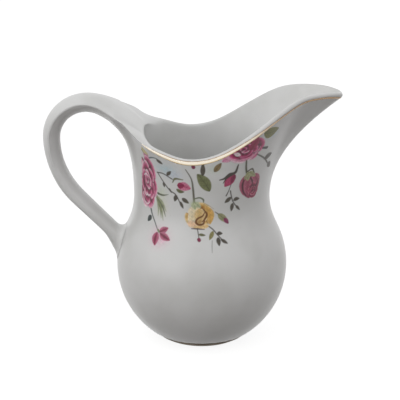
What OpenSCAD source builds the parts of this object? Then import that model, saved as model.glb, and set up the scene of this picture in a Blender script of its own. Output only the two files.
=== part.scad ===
// Porcelain ewer: a round belly, a drawn-in neck, a swept lip that runs out into a long beak,
// and a strap handle luted to a spur at the back of the lip and to the belly.
// Millimetres. The beak points to +X, Z is up, and the foot stands on Z = 0 round the origin.

/* [Belly and neck] */
// Largest radius of the round belly
belly_r = 62.4; // [58:0.2:66]
// Radius of the narrowest ring of the neck
neck_r = 49.2; // [44:0.2:52]
// Height of the narrowest ring of the neck above the table
neck_z = 109.5; // [102:0.5:114]
// Thickness of the cast wall
wall = 3.6; // [2.8:0.1:4.4]
// Thickness of the floor of the ewer
floor_t = 4; // [3:0.1:6]

/* [Foot] */
// Radius of the foot ring where it stands
foot_r = 27; // [25:0.5:30]
// Radius of the hollow inside the foot ring
foot_hollow_r = 22; // [18:0.5:23]
// Height of the foot ring
foot_h = 3; // [2:0.1:4]
// Bevel on the standing edges of the foot ring
foot_bevel = 0.6; // [0.3:0.1:1]

/* [Lip and beak] */
// Reach of the beak's tip from the axis
beak_reach = 99.8; // [92:0.2:110]
// Height of the highest part of the beak's edge
beak_z = 183.6; // [174:0.2:192]
// Half the width of the lip across the mouth
mouth_half = 51.2; // [47:0.2:54]
// Height of the lowest part of the lip, at the sides
dip_z = 145.6; // [138:0.2:150]
// Thickness of the lip
lip_t = 4; // [3:0.1:5]
// Height of the rounded crown of the lip
crown_h = 2.2; // [1:0.1:2.6]
// Reach of the back of the mouth from the axis
mouth_back = 41; // [38:0.2:43]
// Height of the back of the mouth
mouth_back_z = 157; // [153:0.2:160]
// Height of the gilt band on the lip's outer edge
band_h = 2.6; // [1.5:0.1:4]
// Thickness of the gilt band
gilt_t = 0.2; // [0.1:0.05:0.4]

/* [Handle] */
// Reach of the spur's joint from the axis
spur_reach = 62.6; // [58:0.5:66]
// Height of the middle of the spur's joint
spur_z = 171.2; // [164:0.2:174]
// Slope of the spur above the level, in degrees
spur_slope = 29; // [26:1:36]
// Width of the handle at the spur
root_w = 52; // [46:0.5:56]
// Thickness of the handle at the spur
root_t = 12.4; // [11:0.2:14]
// Width of the strap at the top of the loop
strap_top_w = 25; // [20:0.5:28]
// Width of the strap at its lower end
strap_low_w = 19; // [15:0.5:22]
// Thickness of the strap at the top of the loop
strap_top_t = 13.8; // [11:0.2:15]
// Thickness of the strap at its lower end
strap_low_t = 10.4; // [9:0.2:12]
// Length over which the spur's section runs down to the strap's
root_run = 34; // [28:1:45]
// Straight length of handle after the spur
lead_run = 7.5; // [4:0.5:10]
// Radius of the bend at the top of the loop
top_bend_r = 27.2; // [24:0.2:29]
// Radius of the long bend at the back of the loop
back_bend_r = 64; // [56:1:70]
// Slope of the lower run below the level, in degrees
low_slope = 45; // [40:1:50]
// Length over which the outer face spreads onto the belly
tail_run = 13; // [10:0.5:20]
// Length over which the inner face spreads onto the belly
crook_run = 9; // [5:0.5:12]
// Thickness of the slip in the two luted joints
slip_t = 0.4; // [0.2:0.1:0.8]
// Size of the slip fillet round the lower joint
fillet = 4; // [2:0.1:5]

/* [Hidden] */

// Round faces of the foot ring
$fn = 96;

// Steps along each stretch of the lip, across the spur and up the wall
span_steps = 3;
spur_steps = 13;
belly_steps = 12;
shoulder_steps = 6;
flare_steps = 9;
crown_steps = 5;
throat_steps = 8;
inner_steps = 9;
foot_steps = 4;

// Steps along the handle
lead_steps = 2;
top_steps = 16;
back_steps = 8;
run_steps = 4;
tail_steps = 3;
cap_steps = 3;
fillet_steps = 4;
search_steps = 40;

// Lip from the tip of the beak to the side: shares of the reach, the half width and the rise
beak_shares = [
    [1, 0, 0.915],
    [0.975, 0.132, 0.957],
    [0.875, 0.275, 1],
    [0.725, 0.435, 0.97],
    [0.56, 0.74, 0.79],
    [0.34, 0.955, 0.42],
    [0.1, 1, 0.08],
];
// Lip from the side to the spur: shares of the spur's reach, the half width and the spur's rise
spur_shares = [
    [0.18, 0.985, 0],
    [0.48, 0.92, 0.225],
    [0.68, 0.825, 0.48],
    [0.83, 0.73, 0.8],
];
// Fullness of the corners of the mouth, as the power of its round
mouth_power = 2.7;
// Fullness of the handle's outer and inner faces, as powers of their rounds
outer_power = 2.5;
inner_power = 2.2;
// Outer face's share of the strap's thickness
outer_share = 0.38;
// Angle of the handle's side edges in its section
edge_angle = 10;
// Spread of the lower end for each length of tail, and the share of the tail that eases into it
tail_slope_share = 0.36;
tail_ease_share = 0.4;
// How near the fillet's hollow comes to the corner
hollow_share = 0.92;
// How late the lip's rolled edge gives way to the spur's, as a power
roll_power = 3;
// Share of a lip's bulge that a curve's handle needs to reach it
arch_share = 4 / 3;
// Share of the rise from neck to lip at which the wall's flare turns
flare_share = 0.47;
// Share of the land on the spur that each end of its curve holds
land_share = 1 / 3;
// Station of the lip where the gilt starts and ends, counted from the tip
gilt_station = len(beak_shares) + 2;

// Belly centre, and the hollow curve that joins the belly to the neck
belly_z = sqrt(belly_r * belly_r - foot_r * foot_r);
neck_rise = neck_z - belly_z;
hollow_r = (neck_r * neck_r + neck_rise * neck_rise - belly_r * belly_r) / (2 * (belly_r - neck_r));
turn_angle = asin(neck_rise / (belly_r + hollow_r));
hollow_x = neck_r + hollow_r;
floor_z = foot_h + floor_t;

// General helpers
function mix(a, b, t) = a + (b - a) * t;
function unit(v) = v / norm(v);
function clamp01(t) = min(1, max(0, t));
function ease(t) = clamp01(t) * clamp01(t) * (3 - 2 * clamp01(t));
function bez2(a, b, c, t) = mix(mix(a, b, t), mix(b, c, t), t);
function bez3(a, b, c, d, t) = mix(bez2(a, b, c, t), bez2(b, c, d, t), t);
function through(a, b, c, d, t) =
    ((2 * b) + (c - a) * t + (2 * a - 5 * b + 4 * c - d) * t * t
    + (3 * b - a - 3 * c + d) * t * t * t) / 2;
function flip_y(p) = [p[0], -p[1], p[2]];
function power_round(c, n) = sign(c) * pow(abs(c), 2 / n);
function level_angle(p) = atan2(p[1], p[0]);
function on_circle(r, angle, z) = [r * cos(angle), r * sin(angle), z];
function backwards(list) = [for (i = [len(list) - 1:-1:0]) list[i]];

// Handle path in the XZ plane, as [x, z, heading], from the spur's joint at length 0
start_heading = 180 - spur_slope;
top_len = top_bend_r * (270 - start_heading) * PI / 180;
back_len = back_bend_r * (90 - low_slope) * PI / 180;
low_heading = 360 - low_slope;
top_start = lead_run;
back_start = top_start + top_len;
run_start = back_start + back_len;
function ahead(p, heading, run) = [p[0] + run * cos(heading), p[1] + run * sin(heading)];
function bend(p, heading, r, turn) =
    let (mid = ahead(p, heading + 90, r), out = ahead(mid, heading + turn - 90, r))
    [out[0], out[1], heading + turn];
spur_mid = [-spur_reach, spur_z];
lead_end = ahead(spur_mid, start_heading, lead_run);
top_end = bend(lead_end, start_heading, top_bend_r, 270 - start_heading);
back_end = bend(top_end, 270, back_bend_r, 90 - low_slope);
function path(s) =
    s <= top_start ? concat(ahead(spur_mid, start_heading, s), start_heading)
    : s <= back_start ? bend(lead_end, start_heading, top_bend_r, (s - top_start) / top_bend_r * 180 / PI)
    : s <= run_start ? bend(top_end, 270, back_bend_r, (s - back_start) / back_bend_r * 180 / PI)
    : concat(ahead(back_end, low_heading, s - run_start), low_heading);

// Distance of a point from the outer wall of belly and shoulder, and the wall's outward normal there
function wall_polar(p) = [norm([p[0], p[1]]), p[2]];
function on_belly(p) = let (q = wall_polar(p)) atan2(q[1] - belly_z, q[0]) < turn_angle;
function wall_gap(p) =
    on_belly(p) ? norm(p - [0, 0, belly_z]) - belly_r
    : hollow_r - norm(wall_polar(p) - [hollow_x, neck_z]);
function wall_normal(p) =
    on_belly(p) ? unit(p - [0, 0, belly_z])
    : let (q = unit([hollow_x, neck_z] - wall_polar(p)), a = level_angle(p)) on_circle(q[0], a, q[1]);
function on_wall(p, off) = p - wall_normal(p) * (wall_gap(p) - off);

// Length along the handle at which its middle line, or one of its edges, meets the slip on the belly
function find_wall(edge, low, high, left) =
    left == 0 ? (low + high) / 2
    : let (mid = (low + high) / 2)
      wall_gap(strap_point(mid, edge)) > slip_t ? find_wall(edge, mid, high, left - 1)
      : find_wall(edge, low, mid, left - 1);
function find_middle(low, high, left) =
    left == 0 ? (low + high) / 2
    : let (mid = (low + high) / 2, p = path(mid))
      wall_gap([p[0], 0, p[1]]) > slip_t ? find_middle(mid, high, left - 1)
      : find_middle(low, mid, left - 1);
wall_len = find_middle(run_start, run_start + belly_r, search_steps);

// Section of the handle: half width, and depths of its outer and inner faces
function root_fade(s) = pow(1 - clamp01(s / root_run), 2);
function strap_taper(s) = ease(s / wall_len);
function strap_half(s) = mix(mix(strap_top_w, strap_low_w, strap_taper(s)), root_w, root_fade(s)) / 2;
function strap_depth(s) = mix(mix(strap_top_t, strap_low_t, strap_taper(s)), root_t, root_fade(s));
function tail_spread(s, run) =
    let (x = max(0, s - wall_len + run), eased = run * tail_ease_share)
    tail_slope_share * (x < eased ? x * x / eased / 2 : x - eased / 2);
function strap_point(s, edge) =
    let (
        p = path(s),
        side = cos(edge),
        rise = sin(edge),
        fullness = rise > 0 ? outer_power : inner_power,
        depth = strap_depth(s) * (rise > 0 ? outer_share : 1 - outer_share)
            + tail_spread(s, rise > 0 ? tail_run : crook_run),
        y = strap_half(s) * power_round(side, fullness),
        lift = depth * power_round(rise, fullness),
        out = p[2] - 90
    )
    [p[0] + lift * cos(out), y, p[1] + lift * sin(out)];

// Edges of the section: over the outer face from one side to the other, then back over the inner face
function spur_angle(k) = mix(edge_angle, 180 - edge_angle, k / spur_steps);
strap_edges = concat(
    [for (k = [0:spur_steps]) spur_angle(k)],
    [for (k = [spur_steps:-1:0]) -spur_angle(k)]
);

// Lip: stations of one half, from the tip of the beak to the side edge of the spur
spur_side = strap_point(0, edge_angle);
half_stations = concat(
    [for (s = beak_shares) [s[0] * beak_reach, s[1] * mouth_half, mix(dip_z, beak_z, s[2])]],
    [for (s = spur_shares) [-s[0] * spur_reach, s[1] * mouth_half, mix(dip_z, spur_z, s[2])]],
    [spur_side]
);
last_station = len(half_stations) - 1;
past_spur = strap_point(lead_run, edge_angle);
function station(i) =
    i < 0 ? flip_y(half_stations[-i]) : i > last_station ? past_spur : half_stations[i];
function lip_point(u) =
    let (i = min(floor(u), last_station - 1))
    through(station(i - 1), station(i), station(i + 1), station(i + 2), u - i);
half_steps = last_station * span_steps;
function half_lip(i) = lip_point(i / span_steps);

// Ring of generators: one half of the lip, across the spur, and back along the other half
tops = concat(
    [for (i = [0:half_steps]) half_lip(i)],
    [for (k = [1:spur_steps - 1]) strap_point(0, spur_angle(k))],
    [for (i = [half_steps:-1:1]) flip_y(half_lip(i))]
);
count = len(tops);
function half_index(j) = j <= half_steps ? j : j >= count - half_steps ? count - j : half_steps;
function in_spur(j) = j >= half_steps && j <= half_steps + spur_steps;
dip_index = len(beak_shares) * span_steps;
function back_weight(j) = ease((half_index(j) - dip_index) / (half_steps - dip_index));
function root_weight(j) = ease((half_index(j) - dip_index) / (half_steps - span_steps - dip_index));
function mouth_weight(j) = ease((half_index(j) - dip_index + span_steps) / (3 * span_steps));
angles = [for (p = tops) level_angle(p)];

// Turning points of the outer wall's flare, and the lower edge of the lip's band
function spur_low(j) = strap_point(0, -spur_angle(j - half_steps));
function flare_end(j) = in_spur(j) ? spur_low(j) : tops[j];
function spur_turn(p) = p[2] - (norm([p[0], p[1]]) - neck_r) * tan(spur_slope);
turns = [for (j = [0:count - 1])
    let (lip = flare_end(j))
    on_circle(neck_r, angles[j], mix(mix(neck_z, lip[2], flare_share), spur_turn(lip), root_weight(j)))];
runs = [for (j = [0:count - 1]) unit(flare_end(j) - turns[j])];
lows = [for (j = [0:count - 1]) in_spur(j) ? spur_low(j) : tops[j] - band_h * runs[j]];

// Outward normals of the lip, and the inner edge of the mouth
function lip_along(j) = tops[(j + 1) % count] - tops[(j + count - 1) % count];
normals = [for (j = [0:count - 1]) unit(cross(lip_along(j), runs[j]))];
mouth_in = mouth_half - lip_t;
function mouth_round(a) =
    pow(pow(abs(cos(a)) / mouth_back, mouth_power) + pow(abs(sin(a)) / mouth_in, mouth_power),
        -1 / mouth_power);
dip_angle = angles[dip_index];
function mouth_z(a) =
    mix(dip_z, mouth_back_z, sin(90 * clamp01((abs(a) - dip_angle) / (180 - dip_angle))));
inner_edges = [for (j = [0:count - 1])
    mix(tops[j] - lip_t * normals[j],
        on_circle(mouth_round(angles[j]), angles[j], mouth_z(angles[j])), mouth_weight(j))];

// Crown of the lip, which becomes the land on top of the spur
spur_down = [cos(spur_slope), 0, -sin(spur_slope)];
up = [0, 0, 1];
function crown(j, t) =
    let (
        a = tops[j],
        d = inner_edges[j],
        arch = crown_h * arch_share,
        land = norm(d - a) * land_share,
        w = back_weight(j),
        b = a + runs[j] * arch * (1 - pow(w, roll_power)) + spur_down * land * w,
        c = d + mix(runs[j], up, w) * arch
    )
    bez3(a, b, c, d, t);

// Wall below the neck, at a depth under its outer face
function belly_ring(depth, angle) =
    [for (a = angles) on_circle((belly_r - depth) * cos(angle), a, belly_z + (belly_r - depth) * sin(angle))];
function shoulder_ring(depth, angle) =
    [for (a = angles) on_circle(hollow_x - (hollow_r + depth) * cos(angle), a,
        neck_z - (hollow_r + depth) * sin(angle))];
function belly_start(depth, z) = asin((z - belly_z) / (belly_r - depth));
function flare_ring(t) =
    [for (j = [0:count - 1]) bez2(on_circle(neck_r, angles[j], neck_z), turns[j], lows[j], t)];
function inner_turn(j) = turns[j][2] + lip_t * tan(acos(runs[j][2]) / 2) * (1 - mouth_weight(j));
function throat_ring(t) =
    [for (j = [0:count - 1])
        bez2(inner_edges[j], on_circle(neck_r - wall, angles[j], inner_turn(j)),
            on_circle(neck_r - wall, angles[j], neck_z), t)];

// Closed solid through rings of points, with a middle point at each end
module skin(first, rings, last) {
    n = len(rings[0]);
    m = len(rings);
    points = concat([first], [for (r = rings) for (p = r) p], [last]);
    end = len(points) - 1;
    faces = concat(
        [for (k = [0:n - 1]) [0, 1 + k, 1 + (k + 1) % n]],
        [for (i = [0:m - 2]) for (k = [0:n - 1])
            [1 + i * n + k, 1 + (i + 1) * n + k, 1 + (i + 1) * n + (k + 1) % n]],
        [for (i = [0:m - 2]) for (k = [0:n - 1])
            [1 + i * n + k, 1 + (i + 1) * n + (k + 1) % n, 1 + i * n + (k + 1) % n]],
        [for (k = [0:n - 1]) [end, 1 + (m - 1) * n + (k + 1) % n, 1 + (m - 1) * n + k]]
    );
    polyhedron(points, faces);
}

// Cast wall: belly, shoulder, flare, lip, throat and floor
module body() {
    low_outer = belly_start(0, foot_h);
    low_inner = belly_start(wall, floor_z);
    color("white")
    skin([0, 0, foot_h],
        concat(
            [for (i = [0:belly_steps]) belly_ring(0, mix(low_outer, turn_angle, i / belly_steps))],
            [for (i = [1:shoulder_steps]) shoulder_ring(0, mix(turn_angle, 0, i / shoulder_steps))],
            [for (i = [1:flare_steps]) flare_ring(i / flare_steps)],
            [tops],
            [for (i = [1:crown_steps]) [for (j = [0:count - 1]) crown(j, i / crown_steps)]],
            [for (i = [1:throat_steps]) throat_ring(i / throat_steps)],
            [for (i = [1:shoulder_steps]) shoulder_ring(wall, mix(0, turn_angle, i / shoulder_steps))],
            [for (i = [1:inner_steps]) belly_ring(wall, mix(turn_angle, low_inner, i / inner_steps))]
        ),
        [0, 0, floor_z]);
}

// Bare ring under the belly, whose outer side carries the belly's round on down to the table
module foot_ring() {
    low = belly_start(0, 0);
    high = belly_start(0, foot_h);
    side = [for (i = [0:foot_steps]) let (a = mix(low, high, i / foot_steps))
        [belly_r * cos(a), belly_z + belly_r * sin(a)]];
    color("seashell")
    rotate_extrude()
    polygon(concat(
        [[foot_hollow_r + foot_bevel, 0], [foot_r - foot_bevel, 0]],
        [for (i = [1:foot_steps]) side[i]],
        [[foot_hollow_r, foot_h], [foot_hollow_r, foot_bevel]]
    ));
}

// Rings of the handle, and its trimmed end on the belly
function strap_ring(s) = [for (e = strap_edges) strap_point(s, e)];
function edge_len(e) = find_wall(e, run_start, wall_len + 2 * tail_run, search_steps);
edge_lens = [for (e = strap_edges) edge_len(e)];
last_ring = min(edge_lens) - 2 * fillet;
even_lens = concat(
    [for (i = [0:lead_steps]) mix(slip_t, top_start, i / lead_steps)],
    [for (i = [1:top_steps]) mix(top_start, back_start, i / top_steps)],
    [for (i = [1:back_steps]) mix(back_start, run_start, i / back_steps)],
    [for (i = [1:run_steps]) mix(run_start, last_ring, i / run_steps)]
);
function tail_ring(t) =
    [for (k = [0:len(strap_edges) - 1])
        strap_point(mix(last_ring, edge_lens[k] - fillet, t), strap_edges[k])];
end_ring = [for (k = [0:len(strap_edges) - 1]) strap_point(edge_lens[k], strap_edges[k])];
end_mid = let (p = path(wall_len)) on_wall([p[0], 0, p[1]], slip_t);
function cap_ring(t, off) = [for (p = end_ring) on_wall(mix(end_mid, p, t), off)];

// Solid-cast strap handle, from the spur of the lip to the belly
module handle() {
    p = path(slip_t);
    color("white")
    skin(end_mid,
        concat(
            [for (i = [1:cap_steps - 1]) cap_ring(i / cap_steps, slip_t)],
            [end_ring],
            [for (i = [tail_steps:-1:1]) tail_ring(i / tail_steps)],
            [for (s = backwards(even_lens)) strap_ring(s)]
        ),
        [p[0], 0, p[1]]);
}

// Slip between the spur and the handle
module upper_slip_joint() {
    p = path(slip_t);
    color("white")
    skin([p[0], 0, p[1]], [strap_ring(slip_t), strap_ring(0)], [spur_mid[0], 0, spur_mid[1]]);
}

// Toe of the fillet on the belly, out from each edge of the handle's end
function toe(k) =
    let (
        p = end_ring[k],
        n = wall_normal(p),
        away = p - end_mid,
        flat = unit(away - n * (away * n))
    )
    on_wall(p + flat * fillet, 0);
function fillet_ring(t) =
    let (edge = tail_ring(1))
    [for (k = [0:len(strap_edges) - 1])
        let (a = toe(k), c = edge[k], b = mix((a + c) / 2, on_wall(end_ring[k], 0), hollow_share))
        bez2(a, b, c, t)];

// Slip under and round the handle's lower end
module lower_slip_joint() {
    color("white")
    skin(on_wall(end_mid, 0),
        concat(
            [for (i = [1:cap_steps]) cap_ring(i / cap_steps, 0)],
            [for (i = [0:fillet_steps]) fillet_ring(i / fillet_steps)],
            [end_ring],
            [for (i = [1:cap_steps - 1]) cap_ring(1 - i / cap_steps, slip_t)]
        ),
        end_mid);
}

// Gold band on the outer edge of the lip, round the beak from one side of the spur to the other
module gilt_line() {
    last = gilt_station * span_steps;
    order = concat([for (i = [last:-1:0]) i], [for (i = [1:last]) count - i]);
    sections = [for (j = order)
        [tops[j], lows[j], lows[j] + normals[j] * gilt_t, tops[j] + normals[j] * gilt_t]];
    m = len(sections);
    function middle(q) = (q[0] + q[1] + q[2] + q[3]) / 4;
    color("goldenrod")
    skin(middle(sections[0]), sections, middle(sections[m - 1]));
}

body();
foot_ring();
handle();
upper_slip_joint();
lower_slip_joint();
gilt_line();
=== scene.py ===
"""A glazed porcelain ewer with a rose-spray print and a gilt lip line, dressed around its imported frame."""
import math
from contextlib import contextmanager

import bpy
import numpy as np
from bpy.props import FloatProperty, FloatVectorProperty, PointerProperty
from bpy.types import Operator, Panel, PropertyGroup
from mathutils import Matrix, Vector
from mathutils.bvhtree import BVHTree


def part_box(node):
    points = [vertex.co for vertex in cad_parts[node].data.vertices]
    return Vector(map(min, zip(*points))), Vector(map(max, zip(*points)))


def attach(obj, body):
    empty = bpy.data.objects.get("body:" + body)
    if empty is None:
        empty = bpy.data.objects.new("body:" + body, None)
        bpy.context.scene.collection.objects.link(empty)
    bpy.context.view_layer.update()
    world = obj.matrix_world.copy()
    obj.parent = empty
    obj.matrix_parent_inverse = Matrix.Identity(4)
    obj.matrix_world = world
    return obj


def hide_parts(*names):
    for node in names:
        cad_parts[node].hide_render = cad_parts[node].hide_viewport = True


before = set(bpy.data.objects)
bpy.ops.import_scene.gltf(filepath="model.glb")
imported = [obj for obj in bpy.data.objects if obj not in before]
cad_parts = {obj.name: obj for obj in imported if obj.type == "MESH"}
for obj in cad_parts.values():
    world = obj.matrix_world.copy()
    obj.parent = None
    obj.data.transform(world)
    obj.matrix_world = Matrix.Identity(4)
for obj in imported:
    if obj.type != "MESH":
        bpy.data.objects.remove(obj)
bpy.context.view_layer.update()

bl_info = {
    "name": "Rose Ewer",
    "version": (1, 0, 0),
    "blender": (4, 5, 0),
    "location": "3D View > Sidebar > Ewer",
    "description": "Dresses a porcelain ewer with its glaze, its rose-spray print and its gilt lip line",
    "category": "Object",
}

MM = 0.001

# Meshes: merged points, kept corners, paired triangles, faces taken as flat, rounding and easing
MERGE_GAP = 0.00001
CORNER = math.radians(38)
QUAD_BEND = math.radians(40)
QUAD_SKEW = math.radians(60)
FLAT_COSINE = 0.97
ROUNDING_LEVELS = 2
EASE_FACTOR = 0.5

# Attributes: the inks, the place across the gilt line and the normals along the upper joint
PRINT_LAYER = "print"
GILT_LAYER = "gilt_rise"
SEAM_LAYER = "seam_normal"

# Patterns of the finishes, in features per metre, and the depth of their relief
CLOUD_SCALE = 28.0
FLECK_SCALE = 1300.0
GLOSS_SCALE = 60.0
INK_SCALE = 1500.0
PEEL_SCALES = (240.0, 45.0)
RUB_SCALE = 260.0
STAIN_SCALE = 70.0
CLAY_SCALE = 1400.0
PEEL_DEPTH = 0.1 * MM
RUB_DEPTH = 0.05 * MM
CLAY_DEPTH = 0.15 * MM
GLAZE_IOR = 1.48
GILT_METALLIC = 0.75
STAINED_CLAY = "a3927b"

# The foot keeps its sharp edges, and the joint is eased on the spur of the lip
FOOT_MARGIN = 2 * MM
SPUR_FRONT_MM = (-44, -54)
SPUR_BACK_MM = (-86, -72)
SPUR_RISE_MM = (146, 156)
SPUR_STEPS = 45

# The strap's soft edge: angles are degrees round the middle of the loop, upwards from the beak's side,
# and the underside of the spur counts as strap past the start and above the floor
OUTER, INNER = 1, -1
LOOP_MIDDLE_MM = (-82.4, 151.0)
EDGE_DEPTHS_MM = {OUTER: 5.0, INNER: 8.0}
STRAP_POWERS = {OUTER: 2.5, INNER: 2.2}
EDGE_POWER = 0.85
ROOT_FADES = {OUTER: (50, 85), INNER: (26, 48)}
TAIL_FADE = (250, 205)
STRAP_START_MM = -50
STRAP_FLOOR_MM = 140
FULL_FACING = 0.3
WIDTH_BINS = 180
FULL_TURN = 360

# The gilt line: the run of the beak, what counts as its outer side, and how far its edges are drawn up
BEAK_MM = (25, 60)
OUTER_LIFT_SHARE = 0.3
CROWN_SHARE = 0.7
NARROW_SHARE = 0.4

# The stage: the lamps' directions, the fade of the sky and the floor as it is seen and as it throws light
KEY_WAY = (-0.75, -0.65, 0.12)
TOP_WAY = (-0.5, -0.5, 0.9)
SIDE_WAY = (0.75, -0.65, 0.1)
SKY_FADE = (-0.45, 0.5)
FLOOR_SHADE = "8c8c8c"
FLOOR_GLOW = 0.88
FLOOR_BOUNCE = "40362f"


def tint(code):
    """The linear colour of a hex code."""
    parts = np.array([int(code[i:i + 2], 16) / 255 for i in (0, 2, 4)])
    return np.where(parts <= 0.04045, parts / 12.92, ((parts + 0.055) / 1.055) ** 2.4)


def opaque(colour):
    """A colour with full cover, as a node takes it."""
    return (*colour, 1.0)


def ramp(low, high, value):
    """A smooth step of a value from 0 at low to 1 at high."""
    share = np.clip((value - low) / (high - low), 0, 1)
    return share * share * (3 - 2 * share)


def blend(one, other, share):
    """Colours between one and other."""
    return one + (other - one) * np.asarray(share)[..., None]


def wave(angle):
    """A wave between 0 and 1."""
    return 0.5 + 0.5 * np.sin(angle)


WHITE = opaque(tint("ffffff"))
BLACK = opaque(tint("000000"))


# Settings that a user would change

class EwerGlazeSettings(PropertyGroup):
    """Colours and gloss of the fired clay."""

    porcelain: FloatVectorProperty(
        name="Porcelain", description="Colour of the glazed body", subtype="COLOR",
        default=tint("dddddc"))
    pooled: FloatVectorProperty(
        name="Pooled glaze", description="Colour where the glaze is thicker", subtype="COLOR",
        default=tint("d5d5d3"))
    fleck: FloatVectorProperty(
        name="Fleck", description="Colour of the few iron flecks in the glaze", subtype="COLOR",
        default=tint("b9b2a6"))
    biscuit: FloatVectorProperty(
        name="Bare clay", description="Colour of the unglazed foot", subtype="COLOR",
        default=tint("cbbfae"))
    gloss: FloatProperty(
        name="Roughness", description="Roughness of the fired glaze", subtype="FACTOR",
        default=0.3, min=0.02, max=0.6)


class EwerGiltSettings(PropertyGroup):
    """Colours and gloss of the gilt lip line."""

    # The near-white middle of the line is a painted highlight, standing in for the gold's reflection.
    bright: FloatVectorProperty(
        name="Burnished gold", description="Colour of the rubbed middle of the line", subtype="COLOR",
        default=tint("f2e9d8"))
    pale: FloatVectorProperty(
        name="Thin gold", description="Colour along the lower edge of the line", subtype="COLOR",
        default=tint("d8bc88"))
    # Brown along the upper edge is worn thin gold with painted shade; on the beak it is painted shade only.
    worn_and_shaded_gold: FloatVectorProperty(
        name="Worn gold", description="Colour along the upper edge of the line", subtype="COLOR",
        default=tint("8c6534"))
    gloss: FloatProperty(
        name="Roughness", description="Roughness of the burnished gold", subtype="FACTOR",
        default=0.24, min=0.02, max=0.8)
    film: FloatProperty(
        name="Film", description="Thickness of the gold", unit="LENGTH",
        default=0.1 * MM, min=0.02 * MM, max=0.4 * MM, precision=5)


class EwerPrintSettings(PropertyGroup):
    """Fineness and place of the rose-spray transfer."""

    step: FloatProperty(
        name="Fineness", description="Distance between the points of the transfer", unit="LENGTH",
        default=0.32 * MM, min=0.2 * MM, max=2 * MM, precision=5)
    lift: FloatProperty(
        name="Lift", description="How far the transfer stands off the glaze", unit="LENGTH",
        default=0.05 * MM, min=0.01 * MM, max=0.3 * MM, precision=5)
    cut: FloatProperty(
        name="Trimmed edge", description="Place of the transfer's edge on the handle side", unit="LENGTH",
        default=-42.3 * MM, precision=5)
    strength: FloatProperty(
        name="Ink level", description="Brightness of the inks against the porcelain", subtype="FACTOR",
        default=1.0, min=0.2, max=1.2)


class EwerStageSettings(PropertyGroup):
    """Floor, lamps and camera."""

    floor_size: FloatProperty(
        name="Floor", description="Side of the floor", unit="LENGTH", default=12.0, min=1.0)
    floor_gap: FloatProperty(
        name="Floor gap", description="How far the floor lies below the foot", unit="LENGTH",
        default=0.05 * MM, min=0.0, precision=5)
    surround: FloatProperty(
        name="Surround light", description="Level of the light from the sky all round",
        default=0.69, min=0.0)
    key_level: FloatProperty(
        name="Key light", description="Level of the lamp at the front left", default=0.27, min=0.0)
    top_level: FloatProperty(
        name="Top light", description="Level of the lamp above, at the left", default=0.12, min=0.0)
    side_level: FloatProperty(
        name="Side light", description="Level of the lamp at the right", default=0.1, min=0.0)
    lamp_size: FloatProperty(
        name="Lamp size", description="Width of each soft lamp", unit="LENGTH", default=1.5, min=0.1)
    lamp_reach: FloatProperty(
        name="Lamp distance", description="Distance of the lamps from the ewer", unit="LENGTH",
        default=1.4, min=0.3)
    camera_reach: FloatProperty(
        name="Camera distance", description="Distance of the camera from the ewer", unit="LENGTH",
        default=1.2, min=0.3)
    camera_rise: FloatProperty(
        name="Camera elevation", description="Angle of the camera above the horizon", subtype="ANGLE",
        default=math.radians(17.2))
    camera_view: FloatProperty(
        name="Field of view", description="Angle that the picture takes in", subtype="ANGLE",
        default=math.radians(13.86))
    camera_aim: FloatVectorProperty(
        name="Aim", description="Point at the middle of the picture", subtype="XYZ", unit="LENGTH",
        default=(-1.25 * MM, 2.41 * MM, 102.8 * MM), precision=5)


# Shader maths

class Socket:
    """One output of a node; arithmetic on values adds Math nodes beside it."""

    def __init__(self, tree, output):
        self.tree = tree
        self.output = output

    def node(self, kind, settings, inputs, out=0):
        """Adds a node, sets it, fills or links its inputs and gives back one of its outputs."""
        made = self.tree.nodes.new(kind)
        for name, value in settings.items():
            setattr(made, name, value)
        for name, value in inputs.items():
            if isinstance(value, Socket):
                self.tree.links.new(value.output, made.inputs[name])
            else:
                made.inputs[name].default_value = value
        return Socket(self.tree, made.outputs[out])

    def maths(self, operation, one, other):
        return self.node("ShaderNodeMath", {"operation": operation}, {0: one, 1: other})

    def __add__(self, other):
        return self.maths("ADD", self, other)

    def __radd__(self, other):
        return self.maths("ADD", other, self)

    def __sub__(self, other):
        return self.maths("SUBTRACT", self, other)

    def __rsub__(self, other):
        return self.maths("SUBTRACT", other, self)

    def __mul__(self, other):
        return self.maths("MULTIPLY", self, other)

    def __rmul__(self, other):
        return self.maths("MULTIPLY", other, self)

    def at_least(self, other):
        return self.maths("MAXIMUM", self, other)

    def step(self, low, high):
        """A smooth step of this value from 0 at low to 1 at high."""
        settings = {"interpolation_type": "SMOOTHSTEP"}
        return self.node("ShaderNodeMapRange", settings, {"Value": self, "From Min": low, "From Max": high})

    def mix(self, one, other):
        """Colours mixed by this value."""
        return self.node("ShaderNodeMix", {"data_type": "RGBA"}, {0: self, 6: one, 7: other}, out=2)

    def add_colour(self, other):
        """This colour and another one, added up."""
        settings = {"data_type": "RGBA", "blend_type": "ADD"}
        return self.node("ShaderNodeMix", settings, {0: 1.0, 6: self, 7: other}, out=2)

    def noise(self, scale, detail=2.0):
        """Cloudy noise on these coordinates, in features per metre."""
        inputs = {"Vector": self, "Scale": scale, "Detail": detail}
        return self.node("ShaderNodeTexNoise", {}, inputs, out="Fac")

    def coordinate(self, axis):
        """One coordinate of this place."""
        return self.node("ShaderNodeSeparateXYZ", {}, {"Vector": self}, out=axis)

    def layer(self, name, out):
        """One output of a named attribute of the mesh."""
        settings = {"attribute_type": "GEOMETRY", "attribute_name": name}
        return self.node("ShaderNodeAttribute", settings, {}, out=out)

    def feed(self, shader, name):
        """Links this value to a shader's input."""
        self.tree.links.new(self.output, shader.inputs[name])

    def relief(self, shader, strength, depth):
        """Feeds this height to a shader's normal, as relief of that depth."""
        inputs = {"Strength": strength, "Distance": depth, "Height": self}
        self.node("ShaderNodeBump", {}, inputs).feed(shader, "Normal")


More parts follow.
